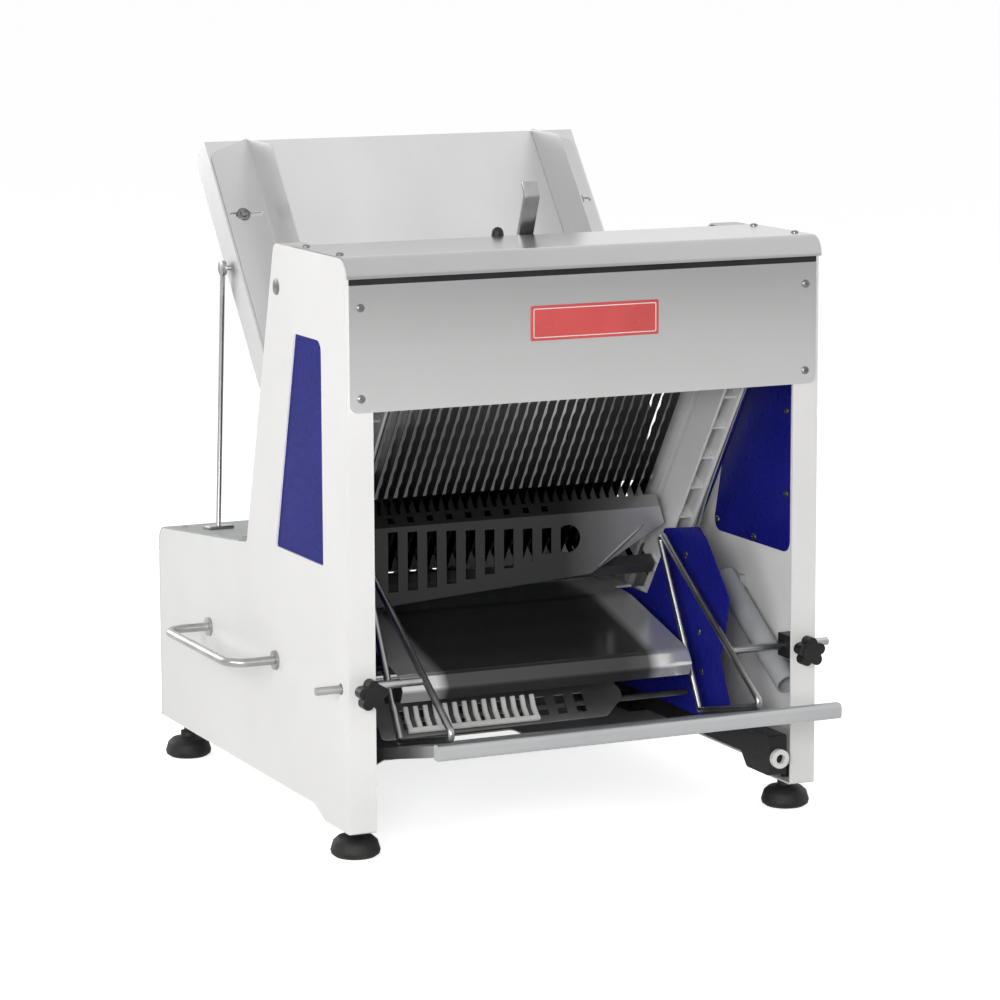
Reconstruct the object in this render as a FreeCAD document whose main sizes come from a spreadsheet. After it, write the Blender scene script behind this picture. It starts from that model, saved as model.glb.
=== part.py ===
import FreeCAD, Part
import Sketcher
import math
import os

# Counter-top bread slicer with a crank-driven pack of blades, drawn in millimetres.
# Every piece is drawn in the machine frame: X to the right, Y backwards from the front face of the
# side panels, Z up from the counter.  The Placement of each piece then moves that frame so that the
# origin lies under the middle of the machine.

Vector = FreeCAD.Vector
Rotation = FreeCAD.Rotation
Placement = FreeCAD.Placement
ALONG_X = Rotation(Vector(0, 1, 0), 90)
ALONG_Y = Rotation(Vector(1, 0, 0), -90)

doc = FreeCAD.newDocument("BreadSlicer")

DRIVING_SIZES = {
    # body of the machine
    "machine_shift": -231.5, "half_width": 285, "skin": 2, "rim_depth": 31,
    "tower_top": 654, "tower_depth": 206, "step_depth": 303, "step_height": 304,
    "base_depth": 600, "base_back_height": 275, "base_underside": 44,
    "leg_underside": 31, "leg_depth": 74, "leg_shoe_depth": 104,
    "window_front": 70, "window_top": 560, "window_underside": 315,
    "window_top_back": 147, "window_low_back": 211, "window_plate": 1.5,
    "cover_height": 655.5, "cover_back": 152, "cover_bend": 20, "cover_lip": 633, "sheet": 1.5,
    "front_top": 626, "front_underside": 490, "front_half_width": 281, "front_corner": 9,
    "plate_left": -70, "plate_right": 84, "plate_low": 556, "plate_high": 594,
    # bread chute, leaning back
    "chute_lean": 38.66, "grid_depth": 225.9, "grid_height": 345.2,
    "chute_length": 508, "chute_half_width": 240, "chute_throat": 198, "chute_fold": 38,
    "guide_offset": 187, "guide_wall": 65, "guide_foot": 50, "guide_low": 30, "guide_length": 480,
    "guide_screw": 217, "slot_low": 170, "slot_high": 400,
    # blade pack, leaning forward
    "blade_lean": 35, "blade_depth": 180, "blade_height": 410.7, "blade_pitch": 12,
    "blade_width": 14, "blade_thickness": 0.8, "blade_top": 196, "blade_low": -172,
    "rail_inner": 206, "rail_width": 26, "rail_thickness": 44, "rail_gap": 5,
    "rail_top": 205, "rail_low": -178, "rod_offset": 247, "rod_radius": 7,
    # drive
    "crank_depth": 386.487, "crank_height": 115.805, "crank_throw": 20, "shaft_radius": 12,
    "web_start": 198, "web_radius": 38, "pin_radius": 9, "rod_length": 128, "rod_spread": 27,
    "motor_depth": 508, "motor_height": 150, "motor_radius": 62, "motor_start": -115,
    "motor_length": 190, "motor_shaft": 10,
    "big_pulley": 62, "small_pulley": 30, "pulley_width": 22, "pulley_start": -161,
    "pulley_flange": 4, "belt_gap": 0.3, "belt_thickness": 2.5,
    # outfeed
    "comb_fold_depth": 209, "comb_fold_height": 325, "low_comb_depth": 165, "low_comb_height": 140,
    "cheek_offset": 200, "cheek_sheet": 2, "slide_half_width": 180, "tray_half_width": 220,
    "bar_half_width": 241, "tray_pivot_depth": 98, "tray_pivot_height": 91, "tray_pin": 4,
    "bar_front": -139, "bar_back": -125, "bar_low": 137, "bar_high": 154,
    "rail_offset": 223, "rail_breadth": 22,
    "stay_offset": 187, "stay_radius": 4, "stay_rod_depth": 24, "stay_rod_height": 188,
    "stay_rod_radius": 4.5,
    # lever and press
    "press_depth": 199, "press_height": 606, "press_radius": 9, "lever_lean": 22,
    "press_lean": 60, "press_half_width": 150, "press_reach": 165, "lever_offset": 8,
    # small parts
    "handle_height": 184, "handle_front": 216, "handle_back": 430, "handle_reach": 55,
    "handle_radius": 5, "foot_radius": 27.5, "foot_stud": 5, "foot_front": 33, "foot_back": 562,
    "foot_offset": 266, "knob_radius": 17, "knob_offset": 267,
}

sheet = doc.addObject("Spreadsheet::Sheet", "Sizes")
for row, (alias, number) in enumerate(DRIVING_SIZES.items(), start=1):
    sheet.set(f"A{row}", alias)
    sheet.set(f"B{row}", str(number))
    sheet.setAlias(f"B{row}", alias)
doc.recompute()


class Size:
    """A number together with the formula that ties it to the sheet."""

    def __init__(self, value, formula):
        self.value = float(value)
        self.formula = formula

    def __add__(self, other):
        other = size(other)
        return Size(self.value + other.value, f"({self.formula} + {other.formula})")

    def __sub__(self, other):
        other = size(other)
        return Size(self.value - other.value, f"({self.formula} - {other.formula})")

    def __mul__(self, other):
        other = size(other)
        return Size(self.value * other.value, f"({self.formula} * {other.formula})")

    def __truediv__(self, other):
        other = size(other)
        return Size(self.value / other.value, f"({self.formula} / {other.formula})")

    def __radd__(self, other):
        return size(other) + self

    def __rsub__(self, other):
        return size(other) - self

    def __rmul__(self, other):
        return size(other) * self

    def __neg__(self):
        return size(0) - self

    def __float__(self):
        return self.value


def size(item):
    """The item itself when it is a Size, or a plain number made into one."""
    if isinstance(item, Size):
        return item
    return Size(item, f"({float(item)!r})")


def dim(alias):
    """A driving dimension of the sheet."""
    return Size(sheet.get(alias), f"Sizes.{alias}")


def bind(thing, name, item):
    """Sets a property and ties it to the sheet."""
    item = size(item)
    thing.setExpression(name, item.formula)


pieces = []


LEANS = {
    "chute": (Vector(-1, 0, 0), "chute_lean", "grid_depth", "grid_height"),
    "blades": (Vector(1, 0, 0), "blade_lean", "blade_depth", "blade_height"),
    "lower comb": (Vector(-1, 0, 0), "chute_lean", "low_comb_depth", "low_comb_height"),
    "crank": (Vector(1, 0, 0), "blade_lean", "crank_depth", "crank_height"),
    "press": (Vector(1, 0, 0), "press_lean", "press_depth", "press_height"),
    "lever": (Vector(1, 0, 0), "lever_lean", "press_depth", "press_height"),
}


def finish(thing, label, lean=None):
    """Names a piece, puts it in the machine frame and keeps it for the export.

    A leaning piece is drawn upright about a point of the machine and tilted about X there.
    """
    thing.Label = label
    if lean is None:
        thing.Placement = Placement(Vector(0, 0, 0), Rotation())
        bind(thing, ".Placement.Base.y", dim("machine_shift"))
    else:
        axis, angle, depth, height = LEANS[lean]
        thing.Placement = Placement(Vector(0, 0, 0), Rotation(axis, dim(angle).value))
        bind(thing, ".Placement.Rotation.Angle", dim(angle))
        bind(thing, ".Placement.Base.y", dim("machine_shift") + dim(depth))
        bind(thing, ".Placement.Base.z", dim(height))
    pieces.append(thing)
    return thing


# ---------------------------------------------------------------- sketches and plates

PLANES = {"side": "YZ_Plane", "front": "XZ_Plane", "floor": "XY_Plane"}


def new_body(label):
    return doc.addObject("PartDesign::Body", label)


def new_sketch(body, plane, offset):
    """An empty sketch on one of the body's own planes, moved along that plane's normal."""
    sketch = body.newObject("Sketcher::SketchObject", body.Name + "Sketch")
    role = PLANES[plane]
    support = [item for item in body.Origin.OriginFeatures if item.Role == role][0]
    sketch.AttachmentSupport = [(support, "")]
    sketch.MapMode = "FlatFace"
    offset = size(offset)
    sketch.AttachmentOffset = Placement(Vector(0, 0, offset.value), Rotation())
    bind(sketch, ".AttachmentOffset.Base.z", offset)
    return sketch


def fix_point(sketch, line, end, across, up):
    """Ties one sketch point to the sheet by its distances from the origin."""
    for kind, item in (("DistanceX", across), ("DistanceY", up)):
        item = size(item)
        number = sketch.addConstraint(
            Sketcher.Constraint(kind, -1, 1, line, end, item.value))
        sketch.setExpression(f"Constraints[{number}]", item.formula)


def polygon(sketch, corners):
    """A closed outline through corners given as (across, up) pairs."""
    points = [Vector(float(size(c[0])), float(size(c[1])), 0) for c in corners]
    count = len(points)
    first = sketch.GeometryCount
    for index in range(count):
        start = points[index]
        end = points[(index + 1) % count]
        sketch.addGeometry(Part.LineSegment(start, end), False)
    for index in range(count):
        following = first + (index + 1) % count
        sketch.addConstraint(Sketcher.Constraint("Coincident", first + index, 2, following, 1))
    for index in range(count):
        fix_point(sketch, first + index, 1, corners[index][0], corners[index][1])


def circle(sketch, across, up, radius):
    """A circle with its centre and radius tied to the sheet."""
    radius = size(radius)
    centre = Vector(float(size(across)), float(size(up)), 0)
    shape = Part.Circle(centre, Vector(0, 0, 1), radius.value)
    number = sketch.addGeometry(shape, False)
    fix_point(sketch, number, 3, across, up)
    tie = sketch.addConstraint(Sketcher.Constraint("Radius", number, radius.value))
    sketch.setExpression(f"Constraints[{tie}]", radius.formula)


def pad(body, sketch, length, backwards=False):
    feature = body.newObject("PartDesign::Pad", body.Name + "Pad")
    feature.Profile = sketch
    feature.Length = float(size(length))
    bind(feature, "Length", length)
    feature.Reversed = backwards
    body.Tip = feature
    doc.recompute()
    return feature


def pocket(body, sketch, length, backwards=False):
    """Cuts the sketch out of the body and checks that material has gone."""
    before = body.Shape.Volume
    feature = body.newObject("PartDesign::Pocket", body.Name + "Pocket")
    feature.Profile = sketch
    feature.Length = float(size(length))
    bind(feature, "Length", length)
    feature.Reversed = backwards
    body.Tip = feature
    doc.recompute()
    if not body.Shape.Volume < before - 1e-6:
        raise RuntimeError(f"{feature.Name} removes nothing")
    return feature


def plane_position(plane, point):
    """The two sketch coordinates of a point in space."""
    return {"side": (point.y, point.z), "front": (point.x, point.z),
            "floor": (point.x, point.y)}[plane]


def round_corners(body, plane, corners):
    """Rounds the upright edges at the corners that carry a radius."""
    groups = {}
    for corner in corners:
        if len(corner) > 2:
            radius = size(corner[2])
            groups.setdefault(radius.formula, (radius, []))[1].append(corner)
    for radius, members in groups.values():
        names = []
        feature = body.Tip
        for number, edge in enumerate(feature.Shape.Edges, start=1):
            ends = [plane_position(plane, vertex.Point) for vertex in edge.Vertexes]
            if len(ends) != 2 or math.dist(ends[0], ends[1]) > 1e-4:
                continue
            for corner in members:
                spot = (float(size(corner[0])), float(size(corner[1])))
                if math.dist(ends[0], spot) < 1e-3:
                    names.append(f"Edge{number}")
        fillet = body.newObject("PartDesign::Fillet", body.Name + "Fillet")
        fillet.Base = (feature, names)
        fillet.Radius = radius.value
        bind(fillet, "Radius", radius)
        body.Tip = fillet
        doc.recompute()


def plate(label, plane, corners, start, thickness, backwards=False):
    """A flat or bent sheet: an outline on a plane, pushed through a thickness."""
    body = new_body(label)
    sketch = new_sketch(body, plane, start)
    polygon(sketch, corners)
    pad(body, sketch, thickness, backwards)
    round_corners(body, plane, corners)
    return body


def cut_out(body, plane, corners, start, depth, backwards=False):
    sketch = new_sketch(body, plane, start)
    polygon(sketch, corners)
    pocket(body, sketch, depth, backwards)
    round_corners(body, plane, corners)


def drill(body, plane, holes, start, depth, backwards=False):
    sketch = new_sketch(body, plane, start)
    for across, up, radius in holes:
        circle(sketch, across, up, radius)
    pocket(body, sketch, depth, backwards)


# ---------------------------------------------------------------- primitives

def cylinder(radius, length, turn, across, depth, height, cone=None):
    """A bar or cone from a point in the given direction."""
    kind = "Part::Cone" if cone is not None else "Part::Cylinder"
    thing = doc.addObject(kind, "Round")
    bind(thing, "Height", length)
    if cone is not None:
        bind(thing, "Radius1", radius)
        bind(thing, "Radius2", cone)
    else:
        bind(thing, "Radius", radius)
    thing.Placement = Placement(Vector(0, 0, 0), turn)
    for name, item in (("x", across), ("y", depth), ("z", height)):
        bind(thing, f".Placement.Base.{name}", item)
    return thing


def box(width, thickness, tall, across, depth, height):
    """A block given by its sizes and its lowest corner."""
    thing = doc.addObject("Part::Box", "Block")
    bind(thing, "Length", width)
    bind(thing, "Width", thickness)
    bind(thing, "Height", tall)
    for name, item in (("x", across), ("y", depth), ("z", height)):
        bind(thing, f".Placement.Base.{name}", item)
    return thing


def joined(*things):
    union = doc.addObject("Part::MultiFuse", "Joined")
    union.Shapes = list(things)
    return union


def cut(base, *tools):
    """The base less the tools."""
    result = base
    for tool in tools:
        difference = doc.addObject("Part::Cut", "Trimmed")
        difference.Base = result
        difference.Tool = tool
        result = difference
    return result


def group(*things):
    """Separate solids kept side by side in one piece."""
    collection = doc.addObject("Part::Compound", "Set")
    collection.Links = list(things)
    return collection


def tube_along(points, radii, radius):
    """A round bar along straight runs joined by tangent arcs."""
    edges = []
    start = points[0]
    for corner, bend, following in zip(points[1:-1], radii, points[2:]):
        arriving = (corner - start).normalize()
        leaving = (following - corner).normalize()
        turn = arriving.getAngle(leaving)
        setback = bend * math.tan(turn / 2)
        first = corner - arriving * setback
        last = corner + leaving * setback
        inward = (leaving - arriving).normalize()
        centre = corner + inward * (bend / math.cos(turn / 2))
        middle = centre - inward * bend
        edges.append(Part.LineSegment(start, first).toShape())
        edges.append(Part.Arc(first, middle, last).toShape())
        start = last
    edges.append(Part.LineSegment(start, points[-1]).toShape())
    spine = Part.Wire(edges)
    direction = (points[1] - points[0]).normalize()
    profile = Part.Wire([Part.Circle(points[0], direction, radius).toShape()])
    return spine.makePipeShell([profile], True, False)


def shaped(shape, label="Shaped"):
    """A piece whose form comes straight from geometry."""
    thing = doc.addObject("Part::Feature", label)
    thing.Shape = shape
    return thing


def mm(alias):
    return dim(alias).value


SIDES = (("left", -1), ("right", 1))


# ---------------------------------------------------------------- body of the machine

def side_panel(name, side):
    """A pressed panel: a tall tower and a low base with a rim folded in all the way round."""
    corners = [
        (0, dim("leg_underside"), 3),
        (dim("leg_depth"), dim("leg_underside"), 12),
        (dim("leg_shoe_depth"), dim("base_underside"), 12),
        (dim("base_depth"), dim("base_underside"), 8),
        (dim("base_depth"), dim("base_back_height"), 18),
        (dim("step_depth"), dim("step_height"), 6),
        (dim("tower_depth"), dim("tower_top"), 12),
        (0, dim("tower_top"), 17),
    ]
    body = plate(f"{name}_side_panel", "side", corners, side * dim("half_width"),
                 dim("rim_depth"), side > 0)
    solid = body.Tip
    inner = side * (mm("half_width") - mm("rim_depth"))
    open_face = [f"Face{number}" for number, face in enumerate(solid.Shape.Faces, start=1)
                 if abs(face.CenterOfMass.x - inner) < 1e-3]
    hollow = body.newObject("PartDesign::Thickness", body.Name + "Hollow")
    hollow.Base = (solid, open_face)
    hollow.Value = mm("skin")
    bind(hollow, "Value", dim("skin"))
    hollow.Reversed = True
    body.Tip = hollow
    doc.recompute()
    window = [
        (dim("window_front"), dim("window_underside"), 3),
        (dim("window_low_back"), dim("window_underside"), 3),
        (dim("window_top_back"), dim("window_top"), 3),
        (dim("window_front"), dim("window_top"), 12),
    ]
    start = side * (dim("half_width") + 1)
    cut_out(body, "side", window, start, dim("skin") + 4, side < 0)
    holes = [(dim("stay_rod_depth"), dim("stay_rod_height"), 6.5),
             (dim("press_depth"), dim("press_height"), dim("press_radius") + 0.05)]
    drill(body, "side", holes, start, dim("skin") + 4, side < 0)
    drill(body, "front", [(side * dim("knob_offset"), dim("stay_rod_height"), 5)],
          1, dim("skin") + 4)
    drill(body, "floor", [(side * dim("foot_offset"), dim("foot_front"), dim("foot_stud") + 0.08),
                          (side * dim("foot_offset"), dim("foot_back"), dim("foot_stud") + 0.08)],
          dim("leg_underside") - 1, 20, True)
    finish(body, f"{name}_side_panel")


def window_plate(name, side):
    """Blue plate screwed behind the window."""
    corners = [
        (dim("window_front") - 13, dim("window_underside") - 28, 14),
        (dim("window_low_back") + 31, dim("window_underside") - 28, 14),
        (dim("window_top_back") + 17, dim("window_top") + 22, 10),
        (dim("window_front") - 13, dim("window_top") + 22, 10),
    ]
    body = plate(f"{name}_window_plate", "side", corners,
                 side * (dim("half_width") - dim("skin")), dim("window_plate"), side > 0)
    finish(body, f"{name}_window_plate")


def cheek_plate(name, side):
    """Blue cheek that closes the outfeed beside the slide, with a foot folded over the rail.

    The right one reaches forward beside the wire guide, the left one ends behind the panel's rim.
    """
    rear = [(345, 92), (345, 213), (254, 213), (216, 266), (211, 298, 6)]
    if side > 0:
        front = [(126, 313, 10), (106, 302, 10), (50, 242, 8), (60, 198, 16), (72, 170, 12),
                 (44, 115, 5), (112, 100, 6), (112, 92)]
    else:
        front = [(140, 310, 8), (132, 302, 6), (132, 104, 6), (138, 92)]
    corners = rear + front
    outer = side * dim("cheek_offset")
    body = plate(f"{name}_cheek_plate", "side", corners, outer, dim("cheek_sheet"), side < 0)
    sketch = new_sketch(body, "side", outer)
    polygon(sketch, [(150, 92), (335, 92), (335, 94), (150, 94)])
    pad(body, sketch, dim("rail_offset") + 15 - dim("cheek_offset"), side < 0)
    finish(body, f"{name}_cheek_plate")


def top_cover():
    """Stainless cover: flat on top, bent over the front and folded down at the back."""
    top = dim("cover_height")
    lip = dim("cover_lip")
    back = dim("cover_back")
    thick = dim("sheet")
    front = size(-6)
    corners = [
        (front, lip), (front + thick, lip),
        (front + thick, top - thick, dim("cover_bend") - thick),
        (back - thick, top - thick), (back - thick, top - 22), (back, top - 22),
        (back, top, 3), (front, top, dim("cover_bend")),
    ]
    body = plate("top_cover", "side", corners, -dim("half_width"), 2 * dim("half_width"))
    lip_end = dim("half_width") - dim("rim_depth") - 0.4
    tail = [(back - 3, top - 24), (back + 1, top - 24), (back + 1, top - thick),
            (back - 3, top - thick)]
    for side in (-1, 1):
        cut_out(body, "side", tail, side * lip_end, dim("rim_depth") + 2, side > 0)
    finish(body, "top_cover")


def front_sheets():
    """Front panel, the dark strip above it and the blank plate on it."""
    wide = dim("front_half_width")
    corners = [
        (-wide, dim("front_underside"), dim("front_corner")),
        (wide, dim("front_underside"), dim("front_corner")),
        (wide, dim("front_top"), 2), (-wide, dim("front_top"), 2),
    ]
    finish(plate("front_panel", "front", corners, 0, dim("sheet")), "front_panel")
    low = dim("front_top") + 0.1
    high = dim("cover_lip") + 5
    strip = [(-wide, low), (wide, low), (wide, high), (-wide, high)]
    finish(plate("cover_gap_strip", "front", strip, 0.05, 1.3), "cover_gap_strip")
    name = [(dim("plate_left"), dim("plate_low"), 2), (dim("plate_right"), dim("plate_low"), 2),
            (dim("plate_right"), dim("plate_high"), 2), (dim("plate_left"), dim("plate_high"), 2)]
    finish(plate("name_plate", "front", name, dim("sheet"), 1), "name_plate")


def base_sheets():
    """Floor pan, rear cover with louvres and the sloping top, bent down over the rear edge."""
    inner = dim("half_width") - dim("skin")
    edge = dim("base_depth") - 8
    pan = [(-inner, 250), (inner, 250), (inner, edge), (-inner, edge)]
    floor = plate("base_floor_pan", "floor", pan, dim("base_underside") + dim("skin"), dim("skin"))
    vent = [(-60, 300, 6), (60, 300, 6), (60, 330, 6), (-60, 330, 6)]
    cut_out(floor, "floor", vent, dim("base_underside") + 10, 20)
    studs = [(side * dim("foot_offset"), dim("foot_back"), dim("foot_stud") + 0.08)
             for side in (-1, 1)]
    drill(floor, "floor", studs, dim("base_underside") + 10, 20)
    finish(floor, "base_floor_pan")
    wide = dim("half_width")
    join = dim("base_back_height") - 30
    wall = [(-wide, dim("base_underside")), (wide, dim("base_underside")), (wide, join),
            (-wide, join)]
    rear = plate("rear_cover", "front", wall, -dim("base_depth") - dim("skin"), dim("skin"))
    for row in range(6):
        low = 110 + 16 * row
        slot = [(-90, low, 2.8), (90, low, 2.8), (90, low + 6, 2.8), (-90, low + 6, 2.8)]
        cut_out(rear, "front", slot, -dim("base_depth") + 3, 10)
    finish(rear, "rear_cover")
    slope = (dim("step_height") - dim("base_back_height")) / (dim("base_depth") - dim("step_depth"))
    skin = dim("skin")
    front = size(330)
    back = dim("base_depth")
    front_height = dim("step_height") - (front - dim("step_depth")) * slope
    back_height = dim("base_back_height")
    roof = [(front, front_height), (back, back_height, 18), (back, join + 1),
            (back + skin, join + 1), (back + skin, back_height + skin - skin * slope, 20),
            (front, front_height + skin)]
    finish(plate("base_top_cover", "side", roof, -wide, 2 * wide), "base_top_cover")


def cross_bars():
    """Cross bars between the side panels, and a thin one that carries the lower comb."""
    inner = dim("half_width") - dim("skin")
    upper = box(2 * inner, 12, 18, -inner, 156, dim("tower_top") - 21)
    middle = cylinder(10, 2 * inner, ALONG_X, -inner, 372, 268)
    half = dim("cheek_offset")
    lower_comb = cylinder(3.4, 2 * half, ALONG_X, -half, 151.83, 114.74)
    finish(group(upper, middle, lower_comb), "cross_bars")


def lever_stop():
    """Rubber dome on the upper cross bar, which the lever meets at the front of its travel."""
    foot = dim("tower_top") - 3
    post = cylinder(8, 7, Rotation(), -34, 162, foot, cone=6.5)
    dome = doc.addObject("Part::Sphere", "Dome")
    bind(dome, "Radius", 6.5)
    dome.Angle1 = 0
    bind(dome, ".Placement.Base.x", -34)
    bind(dome, ".Placement.Base.y", 162)
    bind(dome, ".Placement.Base.z", foot + 7)
    finish(joined(post, dome), "lever_stop_knob")


# ---------------------------------------------------------------- bread chute

def chute():
    """Stainless back of the chute with folded sides, narrowed where it enters the blade rails."""
    wide = dim("chute_half_width")
    throat = dim("chute_throat")
    fold_depth = dim("chute_fold")
    top = dim("chute_length")
    corners = [
        (-throat, 12), (throat, 12), (throat, 96, 6), (wide, 140, 6), (wide, top), (-wide, top),
        (-wide, 140, 6), (-throat, 96, 6),
    ]
    body = plate("chute_plate", "front", corners, 0, dim("sheet"), True)
    fold = [(0, 142), (fold_depth, 190, 20), (fold_depth, top, 16), (0, top)]
    for side in (-1, 1):
        sketch = new_sketch(body, "side", side * wide)
        polygon(sketch, fold)
        pad(body, sketch, dim("sheet"), side > 0)
    round_corners(body, "side", fold)
    for side in (-1, 1):
        drill(body, "side", [(28, 349, 3.1)], side * (wide + 1), 4, side < 0)
    holes = [(side * dim("guide_screw"), dim(slot) + 3, 2.3)
             for side in (-1, 1) for slot in ("slot_low", "slot_high")]
    drill(body, "front", holes, 2, 5)
    finish(body, "chute_plate", "chute")


def chute_guide(name, side):
    """Adjustable side guide: a slotted foot on the chute and a wall that stands off it."""
    low = dim("guide_low")
    top = low + dim("guide_length")
    wall_at = side * dim("guide_offset")
    edge = side * (dim("guide_offset") + dim("guide_foot"))
    body = new_body(f"{name}_chute_guide")
    foot = [(wall_at, low), (edge, low + 130, 10), (edge, top - 20, 12), (wall_at, top)]
    sketch = new_sketch(body, "front", 0.4)
    polygon(sketch, foot)
    pad(body, sketch, dim("sheet"))
    round_corners(body, "front", foot)
    reach = dim("guide_wall")
    wall = [(-0.4, low), (-reach, low + 30, 20), (-reach, top - 53, 26), (-0.4, top, 4)]
    sketch = new_sketch(body, "side", wall_at)
    polygon(sketch, wall)
    pad(body, sketch, dim("sheet"), side > 0)
    round_corners(body, "side", wall[1:3])
    centre = side * (dim("guide_screw") - 4)
    for up in (dim("slot_low"), dim("slot_high")):
        slot = [(centre - 21, up, 2.8), (centre + 21, up, 2.8),
                (centre + 21, up + 6, 2.8), (centre - 21, up + 6, 2.8)]
        cut_out(body, "front", slot, -1, 6, True)
    finish(body, f"{name}_chute_guide", "chute")


def chute_guide_screws():
    """Screws through the guides' slots into the chute."""
    screws = []
    for side in (-1, 1):
        for up in (dim("slot_low") + 3, dim("slot_high") + 3):
            across = side * dim("guide_screw")
            washer = cylinder(8, 1.2, ALONG_Y, across, -3.4, up)
            head = cylinder(4.5, 3.2, ALONG_Y, across, -6.4, up)
            stem = cylinder(2.2, 5.5, ALONG_Y, across, -3.3, up)
            screws.append(joined(washer, head, stem))
    finish(group(*screws), "guide_screws", "chute")


def chute_stay(side):
    """Rod from the chute's folded side down to a shoe on the sloping top of the base."""
    across = side * (mm("chute_half_width") + 8)
    slope = (mm("step_height") - mm("base_back_height")) / (mm("base_depth") - mm("step_depth"))

    def roof(depth):
        return mm("step_height") - (depth - mm("step_depth")) * slope + mm("skin")

    top = Vector(across, 465.7, 600.2)
    foot = Vector(across, 494, roof(494) + 3)
    direction = (foot - top).normalize()
    eye = cylinder(9, 5, ALONG_X, across - 2.5, top.y, top.z)
    bolt = cylinder(2.9, 18, ALONG_X, across - 2.5 if side < 0 else across - 15.5, top.y, top.z)
    nut_start = -mm("chute_half_width") + mm("sheet")
    nut = cylinder(5.5, 4, ALONG_X, nut_start if side < 0 else -nut_start - 4, top.y, top.z)
    rod = doc.addObject("Part::Cylinder", "Rod")
    bind(rod, "Radius", 3)
    rod.Height = (foot - top).Length
    rod.Placement = Placement(top, Rotation(Vector(0, 0, 1), direction))
    outline = [Vector(across - 15, 482, roof(482)), Vector(across - 15, 506, roof(506)),
               Vector(across - 15, 506, roof(506) + 4), Vector(across - 15, 482, roof(482) + 4)]
    shoe = shaped(Part.Face(Part.makePolygon(outline + outline[:1])).extrude(Vector(30, 0, 0)))
    return joined(eye, rod, bolt, nut, shoe)


# ---------------------------------------------------------------- grid, slide and tray

GRID_SHEET = 2.0


def slotted(body, plane, start, outlines, depth):
    """Cuts closed straight outlines, given in one plane, through a sheet."""
    sketch = new_sketch(body, plane, start)
    for corners in outlines:
        points = [Vector(*corner, 0) for corner in corners]
        for start, end in zip(points, points[1:] + points[:1]):
            sketch.addGeometry(Part.LineSegment(start, end), False)
    pocket(body, sketch, depth)


def comb_plate():
    """Bent grid in front of the blades: leaning fingers above the fold, long slots below it."""
    fold, top = dim("comb_fold_depth"), dim("comb_fold_height")
    left, right = -193, 194
    half = dim("cheek_offset")
    corners = [(-half, top), (right, top), (half, 305), (104, 252, 14), (-half, 231.5)]
    body = plate("comb_plate", "front", corners, -fold, GRID_SHEET, True)
    strip = new_sketch(body, "side", left)
    polygon(strip, [(fold, top - 1), (fold, top), (fold + 21.8, top + 27.2),
                    (fold + 23.4, top + 26), (fold + GRID_SHEET, top - 1)])
    pad(body, strip, right - left)
    slots, holes = [], []
    for index in range(9):
        centre = 48 - 24 * index
        low = 250.5 + 0.46 * (8 - index) ** 2
        high = 310 + 1.2 * index
        slots.append([(centre - 6, low), (centre + 6, low), (centre + 6, high),
                      (centre - 6, high)])
        holes.append([(centre - 4, 328.5), (centre + 4, 328.5), (centre + 4, 334.5),
                      (centre - 4, 334.5)])
    slotted(body, "front", 1 - fold, slots + holes, 20)
    round_end = new_sketch(body, "front", 1 - fold)
    round_end.addGeometry(
        Part.Arc(Vector(66, 309, 0), Vector(91, 297, 0), Vector(66, 282, 0)), False)
    round_end.addGeometry(Part.LineSegment(Vector(66, 282, 0), Vector(66, 309, 0)), False)
    pocket(body, round_end, 8)
    pitch = mm("blade_pitch")
    root, tip = mm("comb_fold_depth") + 10.4, mm("comb_fold_depth") + 30
    gaps = []
    for index in range(31):
        centre = pitch * (index - 15)
        gaps.append([(centre - 2.4, root), (centre + 2.4, root), (centre + 3.6, tip),
                     (centre - 3.6, tip)])
    gaps.append([(183, root), (right + 1, root), (right + 1, tip), (183, tip)])
    gaps.append([(left - 1, root), (-183, root), (-183, tip), (left - 1, tip)])
    slotted(body, "floor", top + 40, gaps, 40)
    finish(body, "comb_plate")


def lower_comb():
    """Second comb under the nose of the slide, in a plane like the upper one."""
    corners = [(-192, -52, 8), (90, -50, 14), (118, -26, 12), (106, -4, 10), (80, 0, 6),
               (-192, -8, 4)]
    body = plate("lower_comb", "front", corners, 0, GRID_SHEET, True)
    openings = []
    for index in range(10):
        centre = 60 - 24 * index
        openings.append([(centre - 6, -42), (centre + 6, -42), (centre + 6, -18),
                         (centre - 6, -18)])
    slotted(body, "front", 1, openings, 8)
    finish(body, "lower_comb", "lower comb")


def comb_fingers():
    """White fingers standing in front of the lower comb's slots on one common strip."""
    strip = box(162, 5, 5, -159, -6.3, -48)
    fingers = []
    for index in range(14):
        across = -156 + 12 * index - 2.5
        outline = [Vector(across, -6.3, -45), Vector(across, -2.3, -45), Vector(across, -0.5, -30),
                   Vector(across, -4.5, -16), Vector(across, -7.5, -17), Vector(across, -4.5, -30)]
        face = Part.Face(Part.makePolygon(outline + outline[:1]))
        fingers.append(shaped(face.extrude(Vector(5, 0, 0))))
    finish(joined(strip, *fingers), "comb_fingers", "lower comb")


def outfeed_slide():
    """Polished slide: nearly level under the blades, then rolled over its front nose."""
    corners = [
        (351, 217), (262, 215, 150), (110, 175.5, 12), (99, 160, 6), (106, 146), (107.4, 146.6),
        (100.8, 159.7, 4.5), (111, 174.1, 10.5), (262.2, 213.5, 148.5), (351, 215.5),
    ]
    wide = dim("slide_half_width")
    body = plate("outfeed_slide", "side", corners, -wide, 2 * wide)
    ledge = dim("cheek_offset") + dim("cheek_sheet")
    sketch = new_sketch(body, "side", -ledge)
    polygon(sketch, [(345, 216.8), (300, 215.8), (300, 213.1), (345, 213.1)])
    pad(body, sketch, 2 * ledge)
    finish(body, "outfeed_slide")


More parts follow.
